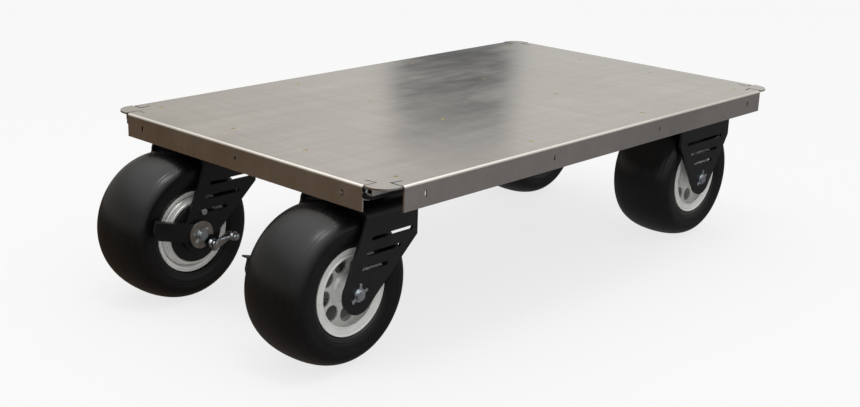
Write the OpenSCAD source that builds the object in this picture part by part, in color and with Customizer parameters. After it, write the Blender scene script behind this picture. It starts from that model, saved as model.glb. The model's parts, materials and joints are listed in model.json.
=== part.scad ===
// Flatbed platform truck: a folded aluminium tray on four tube rails, two braked
// swivel casters at the front end (-X) and two fixed forks at the rear end (+X).
// Left is +Y. The origin is on the floor, under the middle of the whole truck.

/* [Deck] */
// Length of the deck tray
deck_length = 1112; // [1000:1:1400]
// Width of the deck tray
deck_width = 672; // [660:1:900]
// Thickness of the tray sheet
deck_sheet = 3; // [2:0.5:4]
// Depth of the folded flanges, from the deck's top face
flange_depth = 41; // [34:1:60]
// Outside radius of the folds
fold_radius = 4.5; // [4:0.5:7]
// Distance from each virtual corner to the end of a flange
corner_gap = 44; // [40:1:60]
// Radius of the corner tabs
tab_radius = 32; // [20:1:36]
// Width of the relief slits at the corners
slit_width = 3; // [2:0.5:4]
// Height of the flange slots
flange_slot_height = 10; // [8:1:14]
// Width of the flange slots
flange_slot_width = 4.5; // [4:0.5:7]

/* [Rails] */
// Width of a rail tube
rail_width = 30; // [26:1:40]
// Height of a rail tube
rail_height = 12; // [12:1:30]
// Wall of a rail tube
rail_wall = 2; // [1.5:0.5:3]
// Distance from the deck's side to the middle of an outer rail
outer_rail_inset = 44.5; // [36:0.5:60]
// Distance from the deck's side to the middle of an inner rail
inner_rail_inset = 245; // [225:1:260]
// Gap from the flange to the end of a rail
rail_end_gap = 4; // [2:1:20]

/* [Deck screws] */
// Distance from the deck's end to the first row of screws
screw_end_inset = 70.5; // [55:0.5:90]
// Diameter of the screw shank
screw_d = 5; // [4:1:6]
// Diameter of the countersunk head
screw_head_d = 8.8; // [7:0.1:11]
// Depth of the countersunk head
screw_head_depth = 2.2; // [1.5:0.1:2.8]
// Length of a deck screw
screw_length = 9; // [7:1:12]

/* [Wheels] */
// Outside diameter of the tyres
tyre_d = 254; // [240:1:280]
// Width of the tyres
tyre_width = 130; // [120:1:134]
// Distance from the middle of a tyre's width to the rim's edge
rim_edge = 58.8; // [54:0.1:60]
// Diameter over the rim's flanges
rim_flange_d = 143; // [138:1:150]
// Diameter of the bead seat
bead_seat_d = 127; // [120:1:130]
// Wall of the rim
rim_wall = 3; // [2:0.5:4]
// Number of round windows in the rim's disc
window_count = 8; // [5:1:9]
// Diameter of the windows
window_d = 26; // [16:1:27]
// Diameter of the circle that the windows stand on
window_circle_d = 83; // [80:1:90]
// Distance from the deck's side to the middle of the wheels
wheel_inset = 140; // [130:1:141]

/* [Casters] */
// Distance from the deck's front end to the swivel axes
swivel_inset = 84; // [80:1:120]
// Trail from the swivel axis to the axle
trail = 66; // [60:1:68]
// Distance from the deck's rear end to the rear axle
rear_axle_inset = 128; // [120:1:200]
// Thickness of the fork plate
fork_plate = 5; // [4:0.5:6]
// Width between the fork's outer faces
fork_width = 150; // [150:1:160]
// Outside radius of the fork's bends
fork_bend = 18; // [12:1:22]
// Gap from the tyre's crown to the fork's top plate
crown_gap = 1.5; // [1.5:0.5:10]
// Radius of the lobe around the axle
lobe_radius = 32; // [28:1:36]
// Height of the lightening slots
fork_slot_height = 6.4; // [4:0.2:8]
// Diameter of the axle
axle_d = 16; // [14:1:18]
// Thickness of the mounting plates
mount_plate = 6; // [5:1:10]
// Length of the mounting plates
mount_length = 160; // [150:1:166]
// Height from the fork's top to the mounting plate
swivel_height = 27.5; // [25:0.5:40]
// Diameter of the swivel races
race_d = 92; // [86:2:104]
// Diameter of the kingpin
kingpin_d = 20; // [18:1:24]
// Diameter of the swivel balls
ball_d = 10; // [8:1:12]
// Diameter of the mounting bolts
mount_bolt_d = 8; // [6:1:10]

/* [Brakes] */
// Outside diameter of the brake drum
drum_d = 108; // [104:1:112]
// Wall of the brake drum
drum_wall = 3.5; // [3:0.5:5]
// Reach of the pedal arm from the axle
pedal_reach = 98; // [80:1:110]
// Width of the pedal arm
pedal_width = 33; // [24:1:36]
// Rise of the pedal arm above the level, in degrees
pedal_rise = 15.7; // [0:0.1:20]
// Depth of the foot lip on the pedal arm
pedal_lip = 16; // [10:1:30]

/* [Fits] */
// Radial clearance of running fits
running = 0.05; // [0.02:0.01:0.09]
// Axial gap beside moving parts
axial_gap = 0.3; // [0.2:0.1:0.5]

/* [Hidden] */
$fn = 64;
// How far a cutter runs past the face that it cuts
CUT = 1;
HEX = 6;

// Heights, from the floor up
tyre_r = tyre_d / 2;
axle_z = tyre_r;
fork_under_z = tyre_d + crown_gap;
fork_top_z = fork_under_z + fork_plate;
bend_z = fork_top_z - fork_bend;
plate_z = fork_top_z + swivel_height;
rail_z = plate_z + mount_plate;
sheet_z = rail_z + rail_height;
deck_z = sheet_z + deck_sheet;

// Places along the truck, the origin being the middle of its whole length
front_reach = deck_length / 2 - swivel_inset + trail + tyre_r;
rear_reach = deck_length / 2 + max(0, tyre_r - rear_axle_inset);
deck_x = (front_reach - rear_reach) / 2;
swivel_x = deck_x - deck_length / 2 + swivel_inset;
front_axle_x = swivel_x - trail;
rear_axle_x = deck_x + deck_length / 2 - rear_axle_inset;
wheel_y = deck_width / 2 - wheel_inset;

// Rails and what is fixed to them
outer_rail_y = deck_width / 2 - outer_rail_inset;
inner_rail_y = deck_width / 2 - inner_rail_inset;
rail_length = deck_length - 2 * (deck_sheet + rail_end_gap);
screw_rows = 4;
screw_pitch = (deck_length - 2 * screw_end_inset) / (screw_rows - 1);
mount_bolt_dx = mount_length / 2 - 12;
rivet_nut_d = mount_bolt_d + 4;
// The rivet nuts keep this far from a rail's inner wall
rivet_nut_room = 0.5;
mount_bolt_shift = rail_width / 2 - rail_wall - rivet_nut_d / 2 - rivet_nut_room;
mount_bolt_head = 5.3;
rivet_nut_length = rail_height - rail_wall - 1;

// Flange slots
long_slots = 4;
long_slot_inset = 90;
short_slots = 3;
short_slot_inset = 86.5;

// Corner relief slits, measured in from one flange and along it
slit_in = 26;
slit_along = corner_gap - slit_width;
slit_back_in = 22.5;
slit_back_along = slit_along + 20;

// Swivel fork outline, from the axle: behind it, toward the middle of the truck
fork_top_start = 14;
fork_top_end = 126;
fork_shoulder_z = axle_z + 71;
// How far inside the lobe's circle the straight edges end, so that they cross it
lobe_bite = 0.25;
// Fixed fork outline, to each side of the axle
fixed_half = 88;
fixed_shoulder_z = axle_z + 80;
// Lightening slots: height above the axle, start and end from the axle
swivel_slots = [[84, 26, 115], [61, 15.5, 89], [38, 6.4, 61.4]];
fixed_slots = [[82, -63, 63], [58, -48.5, 48.5], [36, -33, 33]];

// Wheel
rim_inner_r = bead_seat_d / 2 - rim_wall;
rim_lip = 3;
well_depth = 6.5;
disc_face = 42;
// Turn of the windows about the axle
window_turn = -9;
disc_thick = 5;
hub_r = 22;
hub_outer = 60;
hub_inner = -24;
bearing_d = 35;
bearing_width = 11;
hub_bore_r = 13.5;
widest_r = 101;
tread_wall = 8;
side_wall = 6;
bead_width = 10;
crown_power = 2.2;

// Fixed riser between the rear fork and its mounting plate
riser_length = 120;
riser_width = 100;
riser_wall = 5;
riser_bolt_dx = 48;
riser_bolt_dy = 30;
hex_nut_height = 6.5;

// Swivel bearing
race_gap = 3;
race_height = (swivel_height - race_gap) / 2;
ball_circle_r = (race_d / 2 + kingpin_d / 2) / 2 + 7;
ball_count = floor(PI * 2 * ball_circle_r / (ball_d * 1.2));
ball_z = fork_top_z + race_height + race_gap / 2;
kingpin_head_r = 14;
kingpin_head = 8;
kingpin_thread_d = kingpin_d - 4;
kingpin_nut_height = 8;

// Axle and brake stack, as distances from the middle of the wheel
fork_outer = fork_width / 2;
fork_inner = fork_outer - fork_plate;
backing_r = drum_d / 2 + 0.5;
backing_outer = fork_inner - 0.5;
backing_thick = 3;
drum_web = 3;
drum_edge = backing_outer - backing_thick - 3;
shoe_edge = drum_edge - 3;
shoe_width = 20;
cam_width = 16;
shoe_gap = 1;
shoe_wall = 8;
shoe_split = 24;
pedal_plate = 4;
pedal_corner = 18;
pedal_y = fork_outer + 1;
hub_plate_y = pedal_y + pedal_plate + 0.5;
hub_plate_thick = 3;
hub_plate_r = 24;
lever_thick = 3;
lever_y = hub_plate_y + 0.5;
link_y = 92;
eye_width = 9;
eye_r = 8;
axle_sleeve_r = 12;
axle_inner_end = 90;
axle_outer_end = 81;
retainer_thick = 2;

// Brake linkage, as [along X, up] from the axle
crank_pin = [15, -15.5];
cam_pivot = [26, -28];
lever_pin = [60.8, -13.3];
anchor_bolt = [swivel_slots[2][1] + fork_slot_height / 2, swivel_slots[2][0]];
anchor_bolt_d = 6;
anchor_head_d = 11;
anchor_head = 5;
crank_pin_r = 4;
lever_pin_r = 3;
open_pivot_gap = 0.4;
cam_shaft_r = 5;

// ---- Helpers ----

LEFT = 1;
RIGHT = -1;

// Draws for the left side, or its mirror image for the right side
module on_side(side) {
    mirror([0, side < 0 ? 1 : 0, 0]) children();
}

// Local frame of a front wheel: origin on the axle, +Y toward the outside
module at_front_wheel(side) {
    on_side(side) translate([front_axle_x, wheel_y, axle_z]) children();
}

module at_rear_wheel(side) {
    on_side(side) translate([rear_axle_x, wheel_y, axle_z]) children();
}

module at_swivel(side) {
    on_side(side) translate([swivel_x, wheel_y, 0]) children();
}

// Turns a shape that stands on Z so that it lies along +Y
module along_y() {
    rotate([-90, 0, 0]) children();
}

// Cylinder along Y between two distances
module rod_y(r, from, to, sides = $fn) {
    along_y() translate([0, 0, from]) cylinder(r = r, h = to - from, $fn = sides);
}

// Ring along Y between two distances
module ring_y(outer_r, inner_r, from, to) {
    difference() {
        rod_y(outer_r, from, to);
        rod_y(inner_r, from - CUT, to + CUT);
    }
}

// Extrudes an outline drawn as [along X, up] through a stretch of Y
module plate_y(from, to) {
    translate([0, to, 0]) rotate([90, 0, 0]) linear_extrude(to - from) children();
}

// Outline with parallel sides and round ends between two points
module slot_2d(a, b, width) {
    way = b - a;
    length = norm(way);
    translate(a) rotate(atan2(way[1], way[0])) {
        translate([0, -width / 2]) square([length, width]);
        circle(d = width);
        translate([length, 0]) circle(d = width);
    }
}

// Rectangle round the origin with round corners
module rounded_2d(length, width, r) {
    square([length - 2 * r, width], center = true);
    square([length, width - 2 * r], center = true);
    for (x = [-1, 1], y = [-1, 1])
        translate([x * (length / 2 - r), y * (width / 2 - r)]) circle(r);
}

// Where a line from a point touches a circle round the origin; turn picks the side
function tangent_point(p, r, turn) =
    let (a = atan2(p[1], p[0]) + turn * acos(r / norm(p))) [r * cos(a), r * sin(a)];

// ---- Deck tray ----

// Half of a flange's section: out to the fold, round it and down
module flange_2d() {
    difference() {
        translate([-fold_radius, -fold_radius]) circle(fold_radius);
        translate([-fold_radius, -fold_radius]) circle(fold_radius - deck_sheet);
        translate([-3 * fold_radius, -3 * fold_radius]) square([2 * fold_radius, 4 * fold_radius]);
        translate([-2 * fold_radius, -3 * fold_radius]) square([3 * fold_radius, 2 * fold_radius]);
    }
    translate([-deck_sheet, -flange_depth]) square([deck_sheet, flange_depth - fold_radius]);
}

// One flange along X, its outer face on the XZ plane and its top on the XY plane
module flange(length) {
    rotate([90, 0, 90]) translate([0, 0, -length / 2]) linear_extrude(length) flange_2d();
}

module flange_slot() {
    plate_y(-2 * deck_sheet, deck_sheet)
        slot_2d([0, -(flange_slot_height - flange_slot_width) / 2],
            [0, (flange_slot_height - flange_slot_width) / 2], flange_slot_width);
}

// Flange with evenly spaced slots, its row of slots ending slot_inset from the corner
module slotted_flange(side_length, slots, slot_inset) {
    pitch = (side_length - 2 * slot_inset) / (slots - 1);
    difference() {
        flange(side_length - 2 * corner_gap);
        for (i = [0 : slots - 1])
            translate([i * pitch - (slots - 1) * pitch / 2, 0, -flange_depth / 2]) flange_slot();
    }
}

// The two slits of one corner: the corner is the origin and the deck lies in +X +Y
module corner_slits_2d() {
    for (flip = [0, 1]) mirror([flip, -flip]) {
        slot_2d([-slit_width, slit_along], [slit_in, slit_along], slit_width);
        translate([-CUT, slit_along]) square([fold_radius + CUT, corner_gap - slit_along]);
        slot_2d([slit_in, slit_along], [slit_back_in, slit_back_along], slit_width);
    }
}

module deck_sheet_2d() {
    difference() {
        union() {
            square([deck_length - 2 * fold_radius, deck_width - 2 * fold_radius], center = true);
            for (x = [-1, 1], y = [-1, 1])
                translate([x * (deck_length - corner_gap) / 2, y * (deck_width - corner_gap) / 2])
                    square([corner_gap, corner_gap], center = true);
        }
        for (x = [-1, 1], y = [-1, 1])
            translate([x * deck_length / 2, y * deck_width / 2]) mirror([x > 0 ? 1 : 0, 0])
                mirror([0, y > 0 ? 1 : 0]) {
                    corner_slits_2d();
                    difference() {
                        translate([-CUT, -CUT]) square(tab_radius + CUT);
                        translate([tab_radius, tab_radius]) circle(tab_radius);
                    }
                }
    }
}

// Puts children at each deck screw, with the deck's top face as their XY plane
module at_screws() {
    for (i = [0 : screw_rows - 1], y = [outer_rail_y, inner_rail_y, -inner_rail_y, -outer_rail_y])
        translate([deck_x - deck_length / 2 + screw_end_inset + i * screw_pitch, y, deck_z])
            children();
}

module deck_screw(gap = 0) {
    translate([0, 0, -screw_head_depth])
        cylinder(d1 = screw_d + 2 * gap, d2 = screw_head_d + 2 * gap, h = screw_head_depth);
    translate([0, 0, -screw_length]) cylinder(d = screw_d + 2 * gap, h = screw_length);
}

module deck_tray() {
    color("silver") difference() {
        translate([deck_x, 0, deck_z]) {
            translate([0, 0, -deck_sheet]) linear_extrude(deck_sheet) deck_sheet_2d();
            for (turn = [0, 180]) rotate(turn) {
                translate([0, deck_width / 2, 0])
                    slotted_flange(deck_length, long_slots, long_slot_inset);
                rotate(90) translate([0, deck_length / 2, 0])
                    slotted_flange(deck_width, short_slots, short_slot_inset);
            }
        }
        at_screws() {
            deck_screw(running);
            cylinder(d = screw_head_d + 2 * running, h = CUT);
        }
    }
}

module deck_screws() {
    color("khaki") at_screws() deck_screw();
}

// ---- Rails and mounting plates ----

module rail(side, y) {
    color("lightgray") difference() {
        translate([deck_x - rail_length / 2, side * y - rail_width / 2, rail_z]) difference() {
            cube([rail_length, rail_width, rail_height]);
            translate([-CUT, rail_wall, rail_wall])
                cube([rail_length + 2 * CUT, rail_width - 2 * rail_wall, rail_height - 2 * rail_wall]);
        }
        at_screws() translate([0, 0, -screw_length - CUT])
            cylinder(d = screw_d + 2 * running, h = screw_length + CUT);
        at_mount_bolts() translate([0, 0, -CUT])
            cylinder(d = rivet_nut_d + 2 * running, h = rail_wall + 2 * CUT);
    }
}

// Puts children at each mounting bolt, with the rails' lower face as their XY plane
module at_mount_bolts() {
    for (side = [LEFT, RIGHT], x = [swivel_x, rear_axle_x], dx = [-mount_bolt_dx, mount_bolt_dx],
        y = [outer_rail_y - mount_bolt_shift, inner_rail_y + mount_bolt_shift])
        translate([x + dx, side * y, rail_z]) children();
}

// Plate under one outer and one inner rail; middle_x is the caster's axis
module mount_plate_at(side, middle_x) {
    inner_edge = inner_rail_y - rail_width / 2;
    outer_edge = outer_rail_y + rail_width / 2;
    difference() {
        on_side(side) translate([middle_x, (inner_edge + outer_edge) / 2, plate_z])
            linear_extrude(mount_plate) rounded_2d(mount_length, outer_edge - inner_edge, 8);
        at_mount_bolts() translate([0, 0, -mount_plate - CUT])
            cylinder(d = mount_bolt_d + 2 * running, h = mount_plate + 2 * CUT);
    }
}

module mount_plate_front(side) {
    color("dimgray") difference() {
        mount_plate_at(side, swivel_x);
        at_swivel(side) translate([0, 0, plate_z - CUT])
            cylinder(d = kingpin_thread_d + 2 * running, h = mount_plate + 2 * CUT);
    }
}

module mount_plate_rear(side) {
    color("dimgray") difference() {
        mount_plate_at(side, rear_axle_x);
        at_riser_bolts(side) cylinder(d = mount_bolt_d + 2 * running, h = deck_z);
    }
}

module mount_bolts() {
    color("lightsteelblue") at_mount_bolts() {
        translate([0, 0, -mount_plate - mount_bolt_head])
            cylinder(d = 1.87 * mount_bolt_d, h = mount_bolt_head, $fn = HEX);
        translate([0, 0, -mount_plate]) cylinder(d = mount_bolt_d, h = mount_plate + rivet_nut_length);
    }
}

module rivet_nuts() {
    color("lightsteelblue") at_mount_bolts() difference() {
        cylinder(d = rivet_nut_d, h = rivet_nut_length);
        translate([0, 0, -CUT])
            cylinder(d = mount_bolt_d + 2 * running, h = rivet_nut_length + 2 * CUT);
    }
}

// ---- Forks ----

// Side plate from the bend down to the lobe, with the axle as the origin
module fork_side_2d(front, rear, front_shoulder, rear_shoulder, slots) {
    top = bend_z - axle_z;
    low = lobe_radius - lobe_bite;
    front_corner = [front, front_shoulder - axle_z];
    rear_corner = [rear, rear_shoulder - axle_z];
    difference() {
        union() {
            polygon([[front, top], front_corner, tangent_point(front_corner, low, 1),
                [0, 0], tangent_point(rear_corner, low, -1), rear_corner, [rear, top]]);
            circle(lobe_radius);
        }
        circle(axle_d / 2 + running);
        for (s = slots)
            slot_2d([s[1] + fork_slot_height / 2, s[0]], [s[2] - fork_slot_height / 2, s[0]],
                fork_slot_height);
    }
}

// Block with two round shoulders whose top is drop below the fork's top face
module shoulders_2d(half, r, drop) {
    translate([-half + r, -2 * fork_bend]) square([2 * (half - r), 2 * fork_bend - drop]);
    translate([-half, -2 * fork_bend]) square([2 * half, 2 * fork_bend - drop - r]);
    for (x = [-1, 1]) translate([x * (half - r), -drop - r]) circle(r);
}

// Section of the fork's folded top, drawn as [across, up] with the top face at 0
module fork_top_2d() {
    intersection() {
        difference() {
            shoulders_2d(fork_outer, fork_bend, 0);
            shoulders_2d(fork_inner, fork_bend - fork_plate, fork_plate);
        }
        translate([-fork_outer, -fork_bend]) square([fork_width, fork_bend]);
    }
}

// Whole folded fork, in the wheel's frame
module folded_fork(front, rear, front_shoulder, rear_shoulder, slots) {
    for (y = [-fork_outer, fork_inner])
        plate_y(y, y + fork_plate)
            fork_side_2d(front, rear, front_shoulder, rear_shoulder, slots);
    translate([front, 0, fork_top_z - axle_z]) rotate([90, 0, 90])
        linear_extrude(rear - front) fork_top_2d();
}

module swivel_fork(side) {
    color([0.12, 0.13, 0.14]) at_front_wheel(side) difference() {
        folded_fork(fork_top_start, fork_top_end, bend_z - 1, fork_shoulder_z, swivel_slots);
        translate([trail, 0, fork_under_z - axle_z - CUT])
            cylinder(r = kingpin_d / 2 + running, h = fork_plate + 2 * CUT);
    }
}

module fixed_fork(side) {
    color([0.12, 0.13, 0.14]) difference() {
        at_rear_wheel(side)
            folded_fork(-fixed_half, fixed_half, fixed_shoulder_z, fixed_shoulder_z, fixed_slots);
        at_riser_bolts(side) cylinder(d = mount_bolt_d + 2 * running, h = deck_z);
    }
}

// ---- Riser of the fixed casters ----

module at_riser_bolts(side) {
    on_side(side) for (x = [-1, 1], y = [-1, 1])
        translate([rear_axle_x + x * riser_bolt_dx, wheel_y + y * riser_bolt_dy, 0]) children();
}

module riser(side) {
    color("dimgray") difference() {
        on_side(side) translate([rear_axle_x, wheel_y, fork_top_z + swivel_height / 2]) difference() {
            cube([riser_length, riser_width, swivel_height], center = true);
            cube([riser_length + 2 * CUT, riser_width - 2 * riser_wall,
                swivel_height - 2 * riser_wall], center = true);
        }
        at_riser_bolts(side) cylinder(d = mount_bolt_d + 2 * running, h = deck_z);
    }
}

module riser_bolts() {
    color("lightsteelblue") for (side = [LEFT, RIGHT]) at_riser_bolts(side) {
        translate([0, 0, fork_under_z - mount_bolt_head])
            cylinder(d = 1.87 * mount_bolt_d, h = mount_bolt_head, $fn = HEX);
        translate([0, 0, fork_under_z])
            cylinder(d = mount_bolt_d, h = rail_z + hex_nut_height + 2 - fork_under_z);
        translate([0, 0, rail_z]) difference() {
            cylinder(d = 1.87 * mount_bolt_d, h = hex_nut_height, $fn = HEX);
            translate([0, 0, -CUT])
                cylinder(d = mount_bolt_d + 2 * running, h = hex_nut_height + 2 * CUT);
        }
    }
}

// ---- Swivel bearing ----

// Half of the bearing between two heights, with the ball groove cut into it
module race(bottom) {
    translate([0, 0, bottom]) difference() {
        cylinder(d = race_d, h = race_height);
        translate([0, 0, -CUT]) cylinder(r = kingpin_d / 2 + running, h = race_height + 2 * CUT);
        translate([0, 0, ball_z - bottom]) rotate_extrude()
            translate([ball_circle_r, 0]) circle(ball_d / 2 + running);
    }
}

module lower_race(side) {
    color("gray") at_swivel(side) race(fork_top_z);
}

module upper_race(side) {
    color("gray") at_swivel(side) race(plate_z - race_height);
}

module swivel_balls() {
    color("white") for (side = [LEFT, RIGHT]) at_swivel(side)
        for (i = [0 : ball_count - 1])
            rotate(i * 360 / ball_count) translate([ball_circle_r, 0, ball_z]) sphere(d = ball_d);
}

module kingpins() {
    color("lightsteelblue") for (side = [LEFT, RIGHT]) at_swivel(side) {
        translate([0, 0, fork_under_z - axial_gap - kingpin_head])
            cylinder(r = kingpin_head_r, h = kingpin_head);
        translate([0, 0, fork_under_z - axial_gap - CUT])
            cylinder(d = kingpin_d, h = plate_z - fork_under_z + axial_gap + CUT);
        translate([0, 0, plate_z - CUT])
            cylinder(d = kingpin_thread_d, h = mount_plate + kingpin_nut_height + 2 + CUT);
    }
}

module kingpin_nuts() {
    color("lightsteelblue") for (side = [LEFT, RIGHT]) at_swivel(side)
        translate([0, 0, rail_z]) difference() {
            cylinder(d = 1.73 * kingpin_thread_d, h = kingpin_nut_height, $fn = HEX);
            translate([0, 0, -CUT])
                cylinder(d = kingpin_thread_d + 2 * running, h = kingpin_nut_height + 2 * CUT);
        }
}

// ---- Wheels ----

// Right-hand half of the tread's curve: a superellipse from the widest point to the crown
function crown_curve(half, height, steps) = [for (i = [0 : steps])
    let (a = 90 * i / steps)
    [widest_r + height * pow(sin(a), 2 / crown_power), half * pow(cos(a), 2 / crown_power)]];

// Right-hand sidewall, from the bead out to the widest point: a quarter ellipse
function side_curve(bead_y, bead_r, half, steps) = [for (i = [0 : steps - 1])
    let (a = 90 * i / steps)
    [widest_r - (widest_r - bead_r) * cos(a), bead_y + (half - bead_y) * sin(a)]];

// Curve from one bead over the crown to the other bead, from its first half
function both_halves(half) =
    concat(half, [for (i = [len(half) - 2 : -1 : 0]) [half[i][0], -half[i][1]]]);

// Half section of the tyre as [radius, across], outer skin and then inner skin
module tyre_2d() {
    bead_y = rim_edge - rim_lip - 0.2;
    outer_half = concat([[bead_seat_d / 2, bead_y]],
        side_curve(bead_y, rim_flange_d / 2 + 1, tyre_width / 2, 6),
        crown_curve(tyre_width / 2, tyre_r - widest_r, 16));
    inner_half = concat([[bead_seat_d / 2, bead_y - bead_width]],
        side_curve(bead_y - bead_width, rim_flange_d / 2 + 1, tyre_width / 2 - side_wall, 4),
        crown_curve(tyre_width / 2 - side_wall, tyre_r - tread_wall - widest_r, 10));
    polygon(concat(both_halves(outer_half), [for (p = both_halves(inner_half)) [p[0], -p[1]]]));
}

module tyre() {
    color([0.13, 0.13, 0.13]) along_y() rotate_extrude() tyre_2d();
}

// Half section of the rim's barrel as [radius, across]
module barrel_2d() {
    seat = bead_seat_d / 2;
    lip_y = rim_edge - rim_lip;
    polygon([[rim_flange_d / 2, rim_edge], [rim_flange_d / 2, lip_y], [seat, lip_y], [seat, 38],
        [seat - well_depth, 30], [seat - well_depth, -14], [seat, -22], [seat, -lip_y],
        [rim_flange_d / 2, -lip_y], [rim_flange_d / 2, -rim_edge], [seat - 1, -rim_edge],
        [rim_inner_r, -lip_y], [rim_inner_r, -23], [rim_inner_r - well_depth, -15],
        [rim_inner_r - well_depth, 31], [rim_inner_r, 39], [rim_inner_r, lip_y],
        [seat - 1, rim_edge]]);
}

module rim() {
    color("gainsboro") difference() {
        union() {
            along_y() rotate_extrude() barrel_2d();
            ring_y(rim_inner_r + 1, hub_bore_r, disc_face - disc_thick, disc_face);
            ring_y(hub_r, hub_bore_r, hub_inner, hub_outer);
        }
        rod_y(bearing_d / 2, hub_outer - bearing_width, hub_outer + CUT);
        rod_y(bearing_d / 2, hub_inner - CUT, hub_inner + bearing_width);
        for (i = [0 : window_count - 1]) rotate([0, window_turn + i * 360 / window_count, 0])
            translate([0, 0, window_circle_d / 2])
                rod_y(window_d / 2, disc_face - disc_thick - CUT, disc_face + CUT);
    }
}

module bearings() {
    color("lightsteelblue") {
        ring_y(bearing_d / 2, axle_d / 2 + running, hub_outer - bearing_width, hub_outer);
        ring_y(bearing_d / 2, axle_d / 2 + running, hub_inner, hub_inner + bearing_width);
    }
}

// ---- Axles ----

// Axle with its sleeves; inner_end is how far it reaches past the inner fork plate
module rear_axle() {
    rod_y(axle_d / 2, -axle_outer_end, axle_outer_end);
    rod_y(axle_sleeve_r, hub_outer + axial_gap, fork_inner - running);
    rod_y(axle_sleeve_r, -fork_inner + running, hub_inner - axial_gap);
}

module rear_axles() {
    color("lightsteelblue") for (side = [LEFT, RIGHT]) at_rear_wheel(side) rear_axle();
}

module front_axle(side) {
    color("lightsteelblue") at_front_wheel(side) {
        rod_y(axle_d / 2, -axle_inner_end, axle_outer_end);
        rod_y(axle_sleeve_r, hub_outer + axial_gap, fork_inner - running);
        rod_y(axle_sleeve_r, -backing_outer + backing_thick, hub_inner - axial_gap);
        rod_y(axle_sleeve_r, -fork_inner + running, -backing_outer);
    }
}

// Spring washer with three prongs that grips the axle's end
module retainer(angles) {
    plate_y(0, retainer_thick) difference() {
        union() {
            circle(axle_d / 2 + 3);
            for (a = angles) rotate(a) slot_2d([axle_d / 2, 0], [axle_d / 2 + 8, 0], 5);
        }
        circle(axle_d / 2 + running);
    }
}

module rear_axle_retainers() {
    color("lightsteelblue") for (side = [LEFT, RIGHT]) at_rear_wheel(side) {
        translate([0, fork_outer, 0]) retainer([20, 80, 215]);
        translate([0, -fork_outer - retainer_thick, 0]) retainer([37, 168, 227]);
    }
}

module front_retainers(side) {
    color("lightsteelblue") at_front_wheel(side) {
        translate([0, fork_outer, 0]) retainer([20, 80, 215]);
        translate([0, -hub_plate_y - hub_plate_thick - retainer_thick, 0])
            retainer([37, 168, 227]);
    }
}

// ---- Brakes, on the inner side of the front wheels ----

module brake_drum(side) {
    color("dimgray") at_front_wheel(side) {
        ring_y(drum_d / 2, drum_d / 2 - drum_wall, -drum_edge, hub_inner);
        ring_y(drum_d / 2, axle_sleeve_r + 2, hub_inner - drum_web, hub_inner);
    }
}

module backing_plate(side) {
    color([0.14, 0.14, 0.15]) at_front_wheel(side) difference() {
        rod_y(backing_r, -backing_outer, -backing_outer + backing_thick);
        rod_y(axle_d / 2 + running, -backing_outer - CUT, -backing_outer + backing_thick + CUT);
        translate([cam_pivot[0], 0, cam_pivot[1]])
            rod_y(cam_shaft_r + running, -backing_outer - CUT, -backing_outer + backing_thick + CUT);
        translate([anchor_bolt[0], 0, anchor_bolt[1]])
            rod_y(anchor_bolt_d / 2 + running, -backing_outer - CUT,
                -backing_outer + backing_thick + CUT);
    }
}

// Two lined shoes, parted along the line through the cam
module brake_shoes(side) {
    lining_r = drum_d / 2 - drum_wall - shoe_gap;
    split_angle = atan2(cam_pivot[1], cam_pivot[0]);
    color("saddlebrown") at_front_wheel(side) difference() {
        union() {
            ring_y(lining_r, lining_r - shoe_wall, -shoe_edge, -shoe_edge + shoe_width);
            ring_y(lining_r - 2, lining_r - shoe_wall - 8, -shoe_edge + 8, -shoe_edge + 12);
        }
        rotate([0, -split_angle, 0]) translate([-drum_d / 2, -shoe_edge - CUT,
            -shoe_split / 2]) cube([drum_d, shoe_width + 2 * CUT, shoe_split]);
    }
}

// Notched thrust plate over the pedal
module hub_plate(side) {
    color("gray") at_front_wheel(side) difference() {
        rod_y(hub_plate_r, -hub_plate_y - hub_plate_thick, -hub_plate_y);
        rod_y(axle_d / 2 + running, -hub_plate_y - hub_plate_thick - CUT, -hub_plate_y + CUT);
        translate([crank_pin[0] + 2, 0, crank_pin[1] + 1.5])
            rod_y(11, -hub_plate_y - hub_plate_thick - CUT, -hub_plate_y + CUT);
    }
}

// Bolt through the end of a fork slot that keeps the backing plate from turning
module anchor_bolt(side) {
    color("lightsteelblue") at_front_wheel(side) translate([anchor_bolt[0], 0, anchor_bolt[1]]) {
        rod_y(anchor_head_d / 2, -fork_outer - anchor_head, -fork_outer);
        rod_y(anchor_bolt_d / 2, -fork_outer - CUT, -backing_outer + backing_thick);
    }
}

// Arm along +X, with the corner that is lowest on the truck rounded off
module pedal_arm_2d() {
    difference() {
        translate([0, -pedal_width / 2]) square([pedal_reach, pedal_width]);
        translate([pedal_reach - pedal_corner, pedal_width / 2 - pedal_corner]) difference() {
            square(pedal_corner + CUT);
            circle(pedal_corner + lobe_bite);
        }
    }
}

module pedal(side) {
    turn = 180 - pedal_rise;
    color([0.12, 0.13, 0.14]) at_front_wheel(side) difference() {
        union() {
            plate_y(-pedal_y - pedal_plate, -pedal_y) {
                circle(20);
                slot_2d([0, 0], crank_pin, 15);
                rotate(turn) pedal_arm_2d();
            }
            rotate([0, -turn, 0]) translate([pedal_reach - 32, -pedal_y - pedal_lip,
                -pedal_width / 2]) cube([32, pedal_lip - pedal_plate + CUT, 3]);
            translate([crank_pin[0], 0, crank_pin[1]]) {
                rod_y(crank_pin_r, -link_y - eye_width / 2 - 1, -pedal_y - pedal_plate + CUT);
                rod_y(crank_pin_r + 2.5, -link_y - eye_width / 2 - 3.5, -link_y - eye_width / 2 - 0.5);
            }
        }
        rod_y(axle_d / 2 + running, -pedal_y - pedal_plate - CUT, -pedal_y + CUT);
    }
}

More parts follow.
